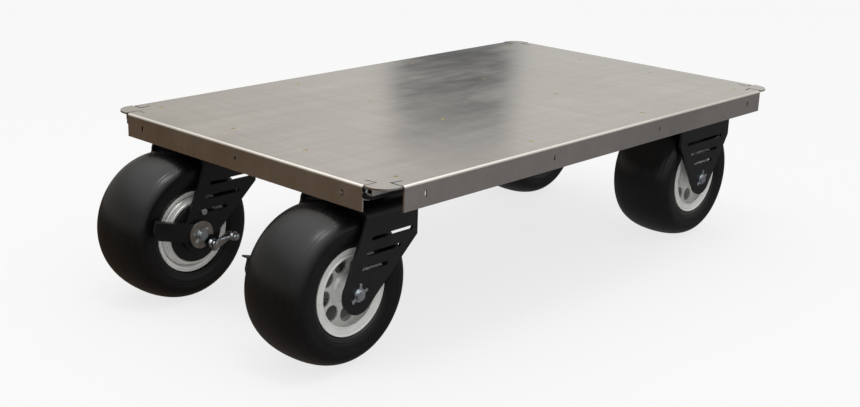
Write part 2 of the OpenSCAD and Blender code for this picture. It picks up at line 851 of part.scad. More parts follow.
// Rod with two eyes; the far eye has room for the opened pivot
module brake_link(side) {
    way = lever_pin - crank_pin;
    length = norm(way);
    color("lightsteelblue") at_front_wheel(side) translate([crank_pin[0], -link_y, crank_pin[1]])
        rotate([0, -atan2(way[1], way[0]), 0]) difference() {
            union() {
                rod_y(eye_r, -eye_width / 2, eye_width / 2);
                translate([length, 0, 0]) rod_y(eye_r, -eye_width / 2, eye_width / 2);
                rotate([0, 90, 0]) cylinder(r = 2.5, h = length);
                translate([eye_r + 6, 0, 0]) rotate([0, 90, 0])
                    cylinder(r = 4.5, h = length - 2 * eye_r - 6, $fn = HEX);
            }
            rod_y(crank_pin_r + running, -eye_width, eye_width);
            translate([length, 0, 0]) rod_y(lever_pin_r + open_pivot_gap, -eye_width, eye_width);
        }
}

// Lever on the cam shaft, which ends in the cam between the shoes
module cam_lever(side) {
    color("gray") at_front_wheel(side) {
        plate_y(-lever_y - lever_thick, -lever_y) slot_2d(cam_pivot, lever_pin, 14);
        translate([cam_pivot[0], 0, cam_pivot[1]]) {
            rod_y(cam_shaft_r, -lever_y, -shoe_edge + cam_width);
            rod_y(6, -lever_y - lever_thick - 4, -lever_y - lever_thick, HEX);
            rotate([0, -atan2(cam_pivot[1], cam_pivot[0]), 0]) translate([-4, -shoe_edge + 2, -9])
                cube([8, cam_width, 18]);
        }
        translate([lever_pin[0], 0, lever_pin[1]]) {
            rod_y(lever_pin_r, -link_y - eye_width / 2 - 1, -lever_y - lever_thick);
            rod_y(lever_pin_r + 3.5, -link_y - eye_width / 2 - 3.5, -link_y - eye_width / 2 - 0.5);
        }
    }
}

// ---- Nodes ----

deck_tray();
rail(LEFT, outer_rail_y);  // rail_outer_left
rail(RIGHT, outer_rail_y);  // rail_outer_right
rail(LEFT, inner_rail_y);  // rail_inner_left
rail(RIGHT, inner_rail_y);  // rail_inner_right
deck_screws();
mount_plate_front(LEFT);  // mount_plate_front_left
mount_plate_front(RIGHT);  // mount_plate_front_right
mount_plate_rear(LEFT);  // mount_plate_rear_left
mount_plate_rear(RIGHT);  // mount_plate_rear_right
mount_bolts();
rivet_nuts();
riser(LEFT);  // riser_left
riser(RIGHT);  // riser_right
riser_bolts();
fixed_fork(LEFT);  // fixed_fork_left
fixed_fork(RIGHT);  // fixed_fork_right
rear_axles();
rear_axle_retainers();
upper_race(LEFT);  // upper_race_left
upper_race(RIGHT);  // upper_race_right
kingpins();
kingpin_nuts();
swivel_balls();
swivel_fork(LEFT);  // swivel_fork_left
swivel_fork(RIGHT);  // swivel_fork_right
lower_race(LEFT);  // lower_race_left
lower_race(RIGHT);  // lower_race_right
front_axle(LEFT);  // front_axle_left
front_axle(RIGHT);  // front_axle_right
front_retainers(LEFT);  // front_retainers_left
front_retainers(RIGHT);  // front_retainers_right
backing_plate(LEFT);  // backing_plate_left
backing_plate(RIGHT);  // backing_plate_right
brake_shoes(LEFT);  // brake_shoes_left
brake_shoes(RIGHT);  // brake_shoes_right
hub_plate(LEFT);  // hub_plate_left
hub_plate(RIGHT);  // hub_plate_right
anchor_bolt(LEFT);  // anchor_bolt_left
anchor_bolt(RIGHT);  // anchor_bolt_right
pedal(LEFT);  // pedal_left
pedal(RIGHT);  // pedal_right
brake_link(LEFT);  // brake_link_left
brake_link(RIGHT);  // brake_link_right
cam_lever(LEFT);  // cam_lever_left
cam_lever(RIGHT);  // cam_lever_right
at_front_wheel(LEFT) tyre();  // tyre_front_left
at_front_wheel(RIGHT) tyre();  // tyre_front_right
at_rear_wheel(LEFT) tyre();  // tyre_rear_left
at_rear_wheel(RIGHT) tyre();  // tyre_rear_right
at_front_wheel(LEFT) rim();  // rim_front_left
at_front_wheel(RIGHT) rim();  // rim_front_right
at_rear_wheel(LEFT) rim();  // rim_rear_left
at_rear_wheel(RIGHT) rim();  // rim_rear_right
at_front_wheel(LEFT) bearings();  // bearings_front_left
at_front_wheel(RIGHT) bearings();  // bearings_front_right
at_rear_wheel(LEFT) bearings();  // bearings_rear_left
at_rear_wheel(RIGHT) bearings();  // bearings_rear_right
brake_drum(LEFT);  // brake_drum_left
brake_drum(RIGHT);  // brake_drum_right
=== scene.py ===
import json
import math

import bmesh
import bpy
import numpy as np
from bpy.props import FloatProperty, FloatVectorProperty, IntProperty, PointerProperty
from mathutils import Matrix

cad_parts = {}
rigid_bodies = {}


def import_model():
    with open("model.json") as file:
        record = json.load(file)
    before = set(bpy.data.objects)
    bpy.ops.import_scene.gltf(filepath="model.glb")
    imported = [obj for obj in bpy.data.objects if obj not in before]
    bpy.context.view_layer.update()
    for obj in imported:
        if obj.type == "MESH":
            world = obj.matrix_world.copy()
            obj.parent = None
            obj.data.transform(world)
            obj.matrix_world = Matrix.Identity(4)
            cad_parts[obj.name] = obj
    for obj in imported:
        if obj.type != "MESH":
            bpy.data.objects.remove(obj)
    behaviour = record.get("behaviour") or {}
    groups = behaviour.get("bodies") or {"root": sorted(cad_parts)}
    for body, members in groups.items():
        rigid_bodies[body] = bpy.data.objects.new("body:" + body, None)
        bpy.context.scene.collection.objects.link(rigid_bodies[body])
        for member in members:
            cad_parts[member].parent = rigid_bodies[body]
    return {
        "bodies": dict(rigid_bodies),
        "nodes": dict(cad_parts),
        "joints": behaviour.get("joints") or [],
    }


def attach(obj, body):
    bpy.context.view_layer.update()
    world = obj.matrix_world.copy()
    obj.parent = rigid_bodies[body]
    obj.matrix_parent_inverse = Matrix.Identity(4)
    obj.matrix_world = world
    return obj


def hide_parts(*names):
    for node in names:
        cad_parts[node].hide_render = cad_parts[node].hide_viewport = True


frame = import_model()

bl_info = {
    "name": "Flatbed Platform Truck",
    "version": (1, 0, 0),
    "blender": (4, 5, 0),
    "location": "3D View > Sidebar > Truck",
    "description": "Finishes and detailed pieces for a flatbed platform truck with braked swivel wheels",
    "category": "Object",
}

MM = 0.001
SIDES = ("left", "right")
ENDS = ("front", "rear")
SHARP = math.radians(32)
MERGE = 2e-6
FLAT = math.radians(0.3)
SPIN = {joint["child"]: joint for joint in frame["joints"] if "wheel_spin" in joint["name"]}

for leftover in ("Cube", "Light", "Camera"):
    if leftover in bpy.data.objects:
        bpy.data.objects.remove(bpy.data.objects[leftover])
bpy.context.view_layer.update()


# ---- Surfaces ----

def quads(rows, columns, wrap_rows, wrap_columns):
    """Corner numbers of the faces between neighbouring points of a grid, and the same
    corners as unwrapped (row, column) steps for the surface's own map."""
    r = np.arange(rows if wrap_rows else rows - 1)[:, None]
    c = np.arange(columns if wrap_columns else columns - 1)[None, :]
    steps = [(r + dr, c + dc) for dr, dc in ((0, 0), (0, 1), (1, 1), (1, 0))]
    corners = np.stack([(a % rows) * columns + b % columns for a, b in steps], -1)
    full = [np.broadcast_arrays(a, b) for a, b in steps]
    places = np.stack([np.stack(pair, -1) for pair in full], -2)
    return corners.reshape(-1, 4), places.reshape(-1, 2)


def surface_mesh(name, grids, smooth_angle=32):
    """One mesh from a list of (points, wraps along rows, wraps along columns). Each grid of
    points is a surface with a quad between every four neighbours; equal points are merged,
    so that poles and seams close, and the faces are turned outwards."""
    points, faces, places, start = [], [], [], 0
    for grid, wrap_rows, wrap_columns in grids:
        rows, columns = grid.shape[:2]
        corners, steps = quads(rows, columns, wrap_rows, wrap_columns)
        points.append(grid.reshape(-1, 3))
        faces.append(corners + start)
        places.append(steps / (rows, columns))
        start += rows * columns
    mesh = bpy.data.meshes.new(name)
    mesh.from_pydata(np.concatenate(points).tolist(), [], np.concatenate(faces).tolist())
    layer = mesh.uv_layers.new(name="surface")
    layer.data.foreach_set("uv", np.concatenate(places).astype(np.float32).ravel())
    shape = bmesh.new()
    shape.from_mesh(mesh)
    bmesh.ops.remove_doubles(shape, verts=shape.verts, dist=1e-6)
    bmesh.ops.recalc_face_normals(shape, faces=shape.faces)
    shape.to_mesh(mesh)
    shape.free()
    mesh.shade_smooth()
    mesh.set_sharp_from_angle(angle=math.radians(smooth_angle))
    return mesh


def turned(profile, steps):
    """A section turned round the wheel's axle: x = r cos a, y = across, z = r sin a, where
    profile holds (across, r) and a goes once round."""
    angle = 2 * np.pi * np.arange(steps)[:, None] / steps
    across, radius = np.asarray(profile, float).T
    return np.stack([radius * np.cos(angle), across + 0 * angle, radius * np.sin(angle)], -1)


def rounded(corners, radius, steps=4):
    """A closed path whose corners are eased: each corner gives way to a parabola that starts
    and ends one radius along its two sides, or 0.45 of a side that is shorter."""
    p = np.asarray(corners, float)
    ease = []
    for other in (np.roll(p, 1, 0), np.roll(p, -1, 0)):
        length = np.linalg.norm(other - p, axis=1, keepdims=True)
        ease.append(p + (other - p) / length * np.minimum(radius, 0.45 * length))
    t = np.linspace(0, 1, steps)[None, :, None]
    curve = (1 - t) ** 2 * ease[0][:, None] + 2 * t * (1 - t) * p[:, None] + t ** 2 * ease[1][:, None]
    return curve.reshape(-1, p.shape[1])


def at_wheel(points, body):
    """Points of a wheel's own frame, in millimetres with +y outwards, placed on its axle."""
    centre = np.array(SPIN[body]["pos_m"])
    side = math.copysign(1, centre[1])
    return points * MM * np.array([1, side, 1]) + centre


def new_piece(name, mesh, body, material, nodes=()):
    """Put a mesh in the scene as a piece that moves with a body and stands for CAD nodes."""
    piece = bpy.data.objects.new(name, mesh)
    bpy.context.scene.collection.objects.link(piece)
    mesh.materials.clear()
    mesh.materials.append(material)
    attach(piece, body)
    if nodes:
        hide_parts(*nodes)
    return piece


def body_of_node(node):
    """The name of the body that a CAD node moves with, found through its parent."""
    for body, empty in frame["bodies"].items():
        if frame["nodes"][node].parent == empty:
            return body
    return "root"


def eased_copy(node, material, width, reach=None):
    """A CAD node's shape with its sharp edges broken: its triangles are merged, flat areas
    joined, and a narrow bevel runs along every edge sharper than 32 degrees. Where a reach is
    given, points further than that from the wheel's axle are drawn in to it."""
    mesh = frame["nodes"][node].data.copy()
    shape = bmesh.new()
    shape.from_mesh(mesh)
    bmesh.ops.remove_doubles(shape, verts=shape.verts, dist=MERGE)
    bmesh.ops.dissolve_limit(shape, angle_limit=FLAT, verts=shape.verts, edges=shape.edges)
    shape.to_mesh(mesh)
    shape.free()
    if reach:
        points = np.zeros(3 * len(mesh.vertices), np.float32)
        mesh.vertices.foreach_get("co", points)
        points = points.reshape(-1, 3)
        axle = np.array(SPIN["wheel_front_" + node.split("_")[-1]]["pos_m"])[[0, 2]]
        away = points[:, [0, 2]] - axle
        share = np.minimum(1, reach / np.linalg.norm(away, axis=1, keepdims=True))
        points[:, [0, 2]] = axle + away * share
        mesh.vertices.foreach_set("co", points.ravel())
    if "custom_normal" in mesh.attributes:
        mesh.attributes.remove(mesh.attributes["custom_normal"])
    mesh.shade_smooth()
    mesh.set_sharp_from_angle(angle=SHARP)
    piece = new_piece(node + "_eased", mesh, body_of_node(node), material, [node])
    bevel = piece.modifiers.new("edge_break", "BEVEL")
    bevel.width = width
    bevel.segments = 2
    bevel.limit_method = "ANGLE"
    bevel.angle_limit = SHARP
    bevel.harden_normals = True
    return piece


# ---- Materials ----

class Mixer:
    """Builds one material, or fills the node tree it is given: nodes are added by kind, and
    a value or another node's output goes into each named socket."""

    def __init__(self, name, tree=None):
        self.tree = tree
        if tree is None:
            self.material = bpy.data.materials.new(name)
            self.material.use_nodes = True
            self.tree = self.material.node_tree
            self.shader = self.tree.nodes["Principled BSDF"]
            self.place = self.add("ShaderNodeTexCoord").outputs["Object"]

    def add(self, kind, sockets=(), **settings):
        """Add a node with its settings, and fill its sockets from (name or number, value)."""
        node = self.tree.nodes.new(kind)
        for key, value in settings.items():
            setattr(node, key, value)
        for socket, value in dict(sockets).items():
            self.fill(node.inputs[socket], value)
        return node

    def fill(self, socket, value):
        """Link an output to a socket, or set the socket's own value."""
        if isinstance(value, bpy.types.NodeSocket):
            self.tree.links.new(value, socket)
        else:
            socket.default_value = value

    def stretched(self, scale, source=None):
        """The place of a point, stretched by a different amount along each axis."""
        sockets = {"Vector": source or self.place, "Scale": scale}
        return self.add("ShaderNodeMapping", sockets).outputs["Vector"]

    def noise(self, scale, detail=3.0, roughness=0.55, source=None):
        """Cloudy noise from 0 to 1 with the given number of lumps per metre along x, y, z."""
        sockets = {"Vector": self.stretched(scale, source), "Scale": 1.0, "Detail": detail,
                   "Roughness": roughness}
        return self.add("ShaderNodeTexNoise", sockets).outputs["Fac"]

    def spread(self, value, low, high, start=0.3, end=0.7):
        """A value between start and end becomes one between low and high."""
        sockets = {"Value": value, "From Min": start, "From Max": end, "To Min": low,
                   "To Max": high}
        return self.add("ShaderNodeMapRange", sockets).outputs["Result"]

    def sums(self, operation, a, b=0.5):
        """One sum on two values."""
        return self.add("ShaderNodeMath", {0: a, 1: b}, operation=operation).outputs[0]

    def blend(self, value, first, second):
        """A colour between two colours or colour outputs, by a value from 0 to 1."""
        node = self.add("ShaderNodeMix", data_type="RGBA")
        self.fill(node.inputs["Factor"], value)
        for socket, colour in ((node.inputs[6], first), (node.inputs[7], second)):
            output = isinstance(colour, bpy.types.NodeSocket)
            self.fill(socket, colour if output else (*colour, 1.0))
        return node.outputs[2]

    def relief(self, height, depth, strength=1.0, under=None):
        """A bump of the given depth in metres, over another bump where one is given."""
        sockets = {"Height": height, "Distance": depth, "Strength": strength}
        if under is not None:
            sockets["Normal"] = under
        return self.add("ShaderNodeBump", sockets).outputs["Normal"]

    def done(self, colour, roughness, normal=None, metallic=0.0, **constants):
        """Join the finished values to the shader, with constants set on its own sockets."""
        self.fill(self.shader.inputs["Base Color"], colour)
        self.fill(self.shader.inputs["Roughness"], roughness)
        self.shader.inputs["Metallic"].default_value = metallic
        if normal is not None:
            self.fill(self.shader.inputs["Normal"], normal)
        for socket, value in constants.items():
            self.shader.inputs[socket.replace("_", " ")].default_value = value
        return self.material


def shade(colour, amount):
    """A colour made lighter or darker by a factor, kept at or below one."""
    return tuple(min(1.0, channel * amount) for channel in colour[:3])


def sheet_aluminium(name, colour):
    """Mill-finish sheet: rolling lines along the deck, wipe marks across it, cloudy handling
    marks, fine scratches and small pale rub marks."""
    mix = Mixer(name)
    lines = mix.noise((3, 700, 3), detail=3.0)
    bands = mix.noise((2, 60, 2), detail=3.0)
    wipes = mix.noise((75, 3, 75), detail=5.0, roughness=0.65)
    clouds = mix.noise((4, 7, 4), detail=3.0, roughness=0.5)
    smears = mix.noise((26, 9, 14), detail=4.0, roughness=0.6)
    hands = mix.noise((10, 34, 18), detail=4.0, roughness=0.6)
    scratch = mix.noise((7, 420, 60), detail=8.0, roughness=0.8)
    base = mix.blend(mix.spread(clouds, 0.0, 1.0), shade(colour, 0.955), shade(colour, 1.03))
    base = mix.blend(mix.spread(smears, 0.0, 0.42, 0.45, 0.72), base, shade(colour, 0.84))
    base = mix.blend(mix.spread(hands, 0.0, 0.26, 0.48, 0.72), base, shade(colour, 1.12))
    for streaks, share, tone in ((bands, 0.34, 0.82), (lines, 0.26, 0.72), (wipes, 0.36, 0.80)):
        base = mix.blend(mix.spread(streaks, 0.0, share, 0.42, 0.67), base, shade(colour, tone))
    rough = mix.spread(clouds, 0.11, 0.17)
    rough = mix.sums("ADD", rough, mix.spread(hands, -0.02, 0.05))
    rough = mix.sums("ADD", rough, mix.spread(scratch, 0.0, 0.07, 0.55, 0.75))
    bump = mix.relief(lines, 0.00002, 0.5)
    return mix.done(base, rough, bump, metallic=1.0, Anisotropic=0.2)


def powder_coat(name, colour, roughness):
    """Satin black powder coat: fine orange peel, faint dust and edges rounded by the film."""
    mix = Mixer(name)
    peel = mix.noise((520, 520, 520), detail=2.0)
    dust = mix.noise((26, 26, 26), detail=6.0, roughness=0.7)
    base = mix.blend(mix.spread(dust, 0.0, 1.0, 0.4, 0.8), colour, shade(colour, 1.9))
    rough = mix.spread(dust, roughness - 0.05, roughness + 0.12)
    rounded_edge = mix.add("ShaderNodeBevel", {"Radius": 0.0007}, samples=4).outputs["Normal"]
    bump = mix.relief(peel, 0.00009, 0.45, rounded_edge)
    return mix.done(base, rough, bump, Specular_IOR_Level=0.5)


def plated_steel(name, colour, roughness, stain, rainbow=0.0):
    """Plated or oiled steel: tiny pits, cloudy stains and, on yellow zinc, a slow shift of hue."""
    mix = Mixer(name)
    cloud = mix.noise((70, 70, 70), detail=4.0, roughness=0.65)
    pits = mix.noise((900, 900, 900), detail=2.0)
    base = mix.blend(mix.spread(cloud, 0.0, 1.0), shade(colour, 1.0 - stain), shade(colour, 1.08))
    if rainbow:
        hue = mix.spread(mix.noise((140, 140, 140), detail=1.0), 0.5 - rainbow, 0.5 + rainbow)
        base = mix.add("ShaderNodeHueSaturation", {"Hue": hue, "Color": base}).outputs["Color"]
    rough = mix.spread(cloud, roughness - 0.05, roughness + 0.12)
    edge = mix.add("ShaderNodeBevel", {"Radius": 0.0004}, samples=4).outputs["Normal"]
    return mix.done(base, rough, mix.relief(pits, 0.00003, 0.4, edge), metallic=1.0)


def cast_aluminium(name, colour, metallic, roughness):
    """Blasted, lacquered or drawn aluminium: fine grain, faint clouds and softened edges."""
    mix = Mixer(name)
    grain = mix.noise((1500, 1500, 1500), detail=2.0)
    cloud = mix.noise((42, 42, 42), detail=4.0)
    base = mix.blend(mix.spread(cloud, 0.0, 1.0), shade(colour, 0.90), shade(colour, 1.05))
    rough = mix.spread(cloud, roughness - 0.05, roughness + 0.07)
    edge = mix.add("ShaderNodeBevel", {"Radius": 0.0008}, samples=4).outputs["Normal"]
    return mix.done(base, rough, mix.relief(grain, 0.00004, 0.4, edge), metallic=metallic)


def tyre_rubber(name, colour, roughness):
    """Slick rubber: scuffed grey bands round the tread, dust, and a fine skin of tiny pores."""
    mix = Mixer(name)
    own = mix.add("ShaderNodeTexCoord").outputs["UV"]
    bands = mix.noise((3, 260, 1), detail=4.0, roughness=0.6, source=own)
    scuffs = mix.noise((30, 90, 1), detail=6.0, roughness=0.72, source=own)
    pores = mix.noise((1100, 1100, 1100), detail=2.0)
    dust = mix.noise((36, 36, 36), detail=6.0, roughness=0.75)
    base = mix.blend(mix.spread(dust, 0.0, 1.0, 0.35, 0.8), colour, shade(colour, 1.7))
    base = mix.blend(mix.spread(scuffs, 0.0, 0.5, 0.5, 0.85), base, shade(colour, 2.2))
    rough = mix.spread(bands, roughness - 0.05, roughness + 0.07)
    rough = mix.sums("ADD", rough, mix.spread(scuffs, -0.03, 0.09))
    bump = mix.relief(bands, 0.00005, 0.15)
    bump = mix.relief(pores, 0.00004, 0.4, bump)
    return mix.done(base, rough, bump, Specular_IOR_Level=0.40)


# ---- What a user can change ----

class FinishColours(bpy.types.PropertyGroup):
    """Colours and gloss of the truck's materials."""

    sheet: FloatVectorProperty(name="Sheet", description="Mill-finish sheet of the deck",
                               subtype="COLOR", size=3, min=0, max=1,
                               default=(0.86, 0.825, 0.765))
    tube: FloatVectorProperty(name="Rails", description="Aluminium tube under the deck",
                              subtype="COLOR", size=3, min=0, max=1, default=(0.74, 0.73, 0.71))
    coat: FloatVectorProperty(name="Coat", description="Powder coat of forks, plates and pedals",
                              subtype="COLOR", size=3, min=0, max=1,
                              default=(0.0022, 0.0026, 0.0034))
    rubber: FloatVectorProperty(name="Rubber", description="Tyre rubber", subtype="COLOR",
                                size=3, min=0, max=1, default=(0.0026, 0.0026, 0.0028))
    rim: FloatVectorProperty(name="Rims", description="Blasted aluminium of the rims",
                             subtype="COLOR", size=3, min=0, max=1, default=(0.72, 0.72, 0.70))
    zinc: FloatVectorProperty(name="Zinc", description="Bright zinc of bolts and axles",
                              subtype="COLOR", size=3, min=0, max=1, default=(0.66, 0.72, 0.76))
    yellow: FloatVectorProperty(name="Yellow zinc", description="Passivated deck screws",
                                subtype="COLOR", size=3, min=0, max=1,
                                default=(0.62, 0.50, 0.20))
    steel: FloatVectorProperty(name="Steel", description="Oiled plain steel of brake parts",
                               subtype="COLOR", size=3, min=0, max=1,
                               default=(0.50, 0.47, 0.42))
    coat_gloss: FloatProperty(name="Coat roughness", description="Roughness of the powder coat",
                              subtype="FACTOR", min=0.1, max=1, default=0.36)
    rubber_gloss: FloatProperty(name="Rubber roughness", description="Roughness of the rubber",
                                subtype="FACTOR", min=0.1, max=1, default=0.27)


class TyreSizes(bpy.types.PropertyGroup):
    """Detail of the tyres' skin."""

    steps: IntProperty(name="Steps", description="Faces round a tyre", default=128, min=32,
                       max=256)
    line_depth: FloatProperty(name="Line depth", description="Depth of the lines in the tread",
                              unit="LENGTH", default=0.0005, min=0)
    rib_height: FloatProperty(name="Rib height", description="Height of the sidewall's ribs",
                              unit="LENGTH", default=0.0006, min=0)


class StudioValues(bpy.types.PropertyGroup):
    """Camera, floor and light."""

    place: FloatVectorProperty(name="Camera", description="Place of the camera", size=3,
                               subtype="TRANSLATION", unit="LENGTH",
                               default=(-1.8049, -1.6172, 0.8590))
    turn: FloatVectorProperty(name="Turn", description="Turn of the camera about X, Y and Z",
                              size=3, subtype="EULER",
                              default=(math.radians(72.798), math.radians(-1.829),
                                       math.radians(-47.030)))
    lens: FloatProperty(name="Lens", description="Focal length on a 36 mm sensor",
                        unit="CAMERA", default=55.64, min=10)
    floor_radius: FloatProperty(name="Floor", description="Radius of the floor",
                                unit="LENGTH", default=40, min=5)
    floor_tone: FloatProperty(name="Floor tone", description="Lightness of the floor",
                              subtype="FACTOR", default=0.90, min=0, max=1)
    horizon: FloatProperty(name="Walls", description="Light from the studio's walls",
                           default=0.55, min=0)
    softbox: FloatProperty(name="Softbox", description="Power of the overhead softbox",
                           unit="POWER", default=20, min=0)
    ceiling: FloatProperty(name="Ceiling", description="Light from the studio's ceiling",
                           default=1.9, min=0)


# ---- Pieces ----

FINISHES = {}


def make_finishes(colours):
    """Every material of the truck, by the record's slot name."""
    FINISHES.update({
        "deck_aluminium": sheet_aluminium("sheet_aluminium", colours.sheet),
        "rail_aluminium": cast_aluminium("tube_aluminium", colours.tube, 1.0, 0.34),
        "fork_black": powder_coat("black_powder_coat", colours.coat, colours.coat_gloss),
        "tyre_rubber": tyre_rubber("slick_rubber", colours.rubber, colours.rubber_gloss),
        "rim_aluminium": cast_aluminium("blasted_aluminium", colours.rim, 0.25, 0.36),
        "drum": cast_aluminium("lacquered_drum", colours.rim, 0.45, 0.30),
        "zinc": plated_steel("bright_zinc", colours.zinc, 0.22, 0.25),
        "yellow_zinc": plated_steel("yellow_zinc", colours.yellow, 0.24, 0.2, rainbow=0.03),
        "plain_steel": plated_steel("oiled_steel", colours.steel, 0.34, 0.45),
        "bearing_steel": plated_steel("bearing_steel", colours.zinc, 0.18, 0.2),
        "brake_lining": powder_coat("brake_lining", (0.05, 0.042, 0.036), 0.8),
    })


def dress(node, slot_name):
    """Give a CAD node its finish."""
    node_object = frame["nodes"][node]
    for socket in node_object.material_slots:
        socket.material = FINISHES[slot_name]


def slot_of(node):
    """The record's material slot of a CAD node, read from its imported material's name."""
    return frame["nodes"][node].data.materials[0].name.split(".")[0]


class TRUCK_OT_finishes(bpy.types.Operator):
    """Make the materials and put them on every CAD part."""

    bl_idname = "truck.finishes"
    bl_label = "Finishes"

    def execute(self, context):
        slots = {node: slot_of(node) for node in frame["nodes"]}
        make_finishes(context.scene.truck_finishes)
        for node, slot_name in slots.items():
            dress(node, slot_name)
        return {"FINISHED"}


# A tyre's section in millimetres: where it is widest, half its width, its outer radius, the
# power of its crown, and the bead's place across, its seat and the start of the sidewall.
WIDEST_R, TYRE_HALF, TYRE_R, CROWN_POWER = 101.0, 65.0, 127.0, 2.2
BEAD, SEAT_R, SIDE_R = 55.6, 63.5, 72.5
# The tyre's inner wall as (across, r), from one bead to the other.
TYRE_INSIDE = ((-45.6, 63.5), (-44, 74), (-56, 88), (-58, 101), (-54, 113), (-40, 118),
               (0, 119.5), (40, 118), (54, 113), (58, 101), (56, 88), (44, 74), (45.6, 63.5))


def tyre_section(sizes):
    """Closed section of a tyre as (across, r) in millimetres. The crown is a superellipse of
    power 2.2 from the widest point at r 101, the sidewall a quarter ellipse down to the bead,
    and narrow bell curves along the outer skin make its ribs and lines."""
    a = np.linspace(0, np.pi / 2, 60)
    crown = np.stack([TYRE_HALF * np.cos(a) ** (2 / CROWN_POWER),
                      WIDEST_R + (TYRE_R - WIDEST_R) * np.sin(a) ** (2 / CROWN_POWER)], -1)
    b = np.linspace(0, np.pi / 2, 30)[:-1]
    side = np.stack([BEAD + (TYRE_HALF - BEAD) * np.sin(b),
                     WIDEST_R - (WIDEST_R - SIDE_R) * np.cos(b)], -1)
    right = np.concatenate([[[BEAD, SEAT_R]], side, crown])
    skin = np.concatenate([right, (right * (-1, 1))[-2::-1]])
    along = np.gradient(skin, axis=0)
    normal = np.stack([along[:, 1], -along[:, 0]], -1)
    normal /= np.linalg.norm(normal, axis=1, keepdims=True)
    across, r = np.abs(skin[:, 0]), skin[:, 1]
    bell = lambda value, middle, width: np.exp(-((value - middle) / width) ** 2)
    on_side = r < WIDEST_R + 4
    lines = sizes.line_depth / MM * (bell(across, 27, 0.7) + bell(across, 52.5, 0.8)) * ~on_side
    ribs = sizes.rib_height / MM * on_side * (bell(r, 76, 0.9) + bell(r, 79, 0.5)
                                             + bell(r, 98, 0.6) - 0.6 * bell(r, 90, 0.8))
    skin = skin + normal * (ribs - lines)[:, None]
    return np.concatenate([skin, TYRE_INSIDE])


class TRUCK_OT_tyres(bpy.types.Operator):
    """Make the four slick tyres."""

    bl_idname = "truck.tyres"
    bl_label = "Tyres"

    def execute(self, context):
        sizes = context.scene.truck_tyres
        ring = turned(tyre_section(sizes), sizes.steps)
        for end in ENDS:
            for side in SIDES:
                body = f"wheel_{end}_{side}"
                mesh = surface_mesh(f"tyre_skin_{end}_{side}",
                                    [(at_wheel(ring, body), True, True)], 50)
                new_piece(f"slick_tyre_{end}_{side}", mesh, body, FINISHES["tyre_rubber"],
                          [f"tyre_{end}_{side}"])
        return {"FINISHED"}


# A rim's sections as (across, r), in millimetres: its barrel with two lips, and its hub.
RIM_BARREL = ((58.8, 71.5), (55.8, 71.5), (55.8, 64.0), (38, 63.5), (30, 57), (-14, 57),
              (-22, 63.5), (-55.8, 64.0), (-55.8, 71.5), (-58.8, 71.5), (-58.8, 69.6),
              (-57.0, 68.2), (-56.5, 63.8), (-51.0, 61.4), (-47.4, 58.6), (-43.0, 58.4),
              (-40.0, 60.5), (-23, 60.5), (-15, 54), (31, 54), (37, 58.6), (48, 58.2),
              (54.8, 55.8), (56.6, 56.2), (56.8, 58.2), (55.0, 60.0), (56.5, 63.4),
              (57.0, 68.2), (58.8, 69.6))
RIM_HUB = ((60, 17.6), (60, 22), (47, 22.4), (42.6, 26.5), (36.4, 26.5), (32, 22), (-24, 22),
           (-24, 17.6), (-13, 17.6), (-13, 13.5), (49, 13.5), (49, 17.6))


class RimSizes(bpy.types.PropertyGroup):
    """Sizes of the rims' windowed disc."""

    windows: IntProperty(name="Windows", description="Round windows in the disc", default=8,
                         min=5, max=9)
    window: FloatProperty(name="Window", description="Diameter of a window", unit="LENGTH",
                          default=0.026, min=0.016, max=0.027)
    circle: FloatProperty(name="Window circle", unit="LENGTH", default=0.083, min=0.08,
                          description="Diameter of the circle that the windows lie on")
    turn: FloatProperty(name="Turn", description="Turn of the windows about the axle",
                        subtype="ANGLE", default=math.radians(-9))
    edge: FloatProperty(name="Edge", description="Radius on the windows' edges", unit="LENGTH",
                        default=0.0014, min=0)


def windowed_disc(sizes):
    """The rim's disc as equal sectors, each a section carried round its window: along the ray
    at angle p from the window's middle the face runs from the sector's border, at distance
    b(p), to the window's eased edge, through the window and back on the other face. b(p) is
    the nearest of the sector's two straight sides and its inner and outer arcs."""
    centre, hole, ease = sizes.circle / MM / 2, sizes.window / MM / 2, sizes.edge / MM
    inner, outer, face, back = 21.0, 61.0, 42.0, 37.0
    half = np.pi / sizes.windows
    corner = [np.arctan2(arc * np.sin(half), arc * np.cos(half) - centre) for arc in (outer, inner)]
    stops = (-corner[1], -corner[0], corner[0], corner[1], 2 * np.pi - corner[1])
    p = np.concatenate([np.linspace(a, b, 15)[:-1] for a, b in zip(stops, stops[1:])])
    with np.errstate(divide="ignore", invalid="ignore"):
        ways = [centre * np.sin(half) / np.sin(turn - half) for turn in (p, -p)]
        for arc, sign in ((outer, 1), (inner, -1)):
            root = np.sqrt(arc ** 2 - (centre * np.sin(p)) ** 2)
            ways.append(-centre * np.cos(p) + sign * root)
    ways = np.array([np.where(way > 0, way, np.inf) for way in np.nan_to_num(ways, nan=-1)])
    border = ways.min(0)[:, None]
    a = np.linspace(0, np.pi / 2, 4)[None, :]
    rim_of = hole + ease * (1 - np.sin(a))
    reach = np.concatenate([border, (border + hole + ease) / 2, rim_of + 0 * border,
                            rim_of[:, ::-1] + 0 * border, (border + hole + ease) / 2, border], 1)
    high = face - ease * (1 - np.cos(a[0]))
    across = np.concatenate([[face, face], high, back + face - high[::-1], [back, back]])
    u, v = reach * np.sin(p)[:, None], centre + reach * np.cos(p)[:, None]
    grids = []
    for i in range(sizes.windows):
        turn = sizes.turn + 2 * half * i
        grid = np.stack([u * np.cos(turn) + v * np.sin(turn), across + 0 * u,
                         v * np.cos(turn) - u * np.sin(turn)], -1)
        grids.append((grid, True, False))
        for rows in (np.arange(14, 29), np.arange(42, 57) % len(p)):
            grids.append((grid[rows][:, [0, -1]], False, False))
    return grids


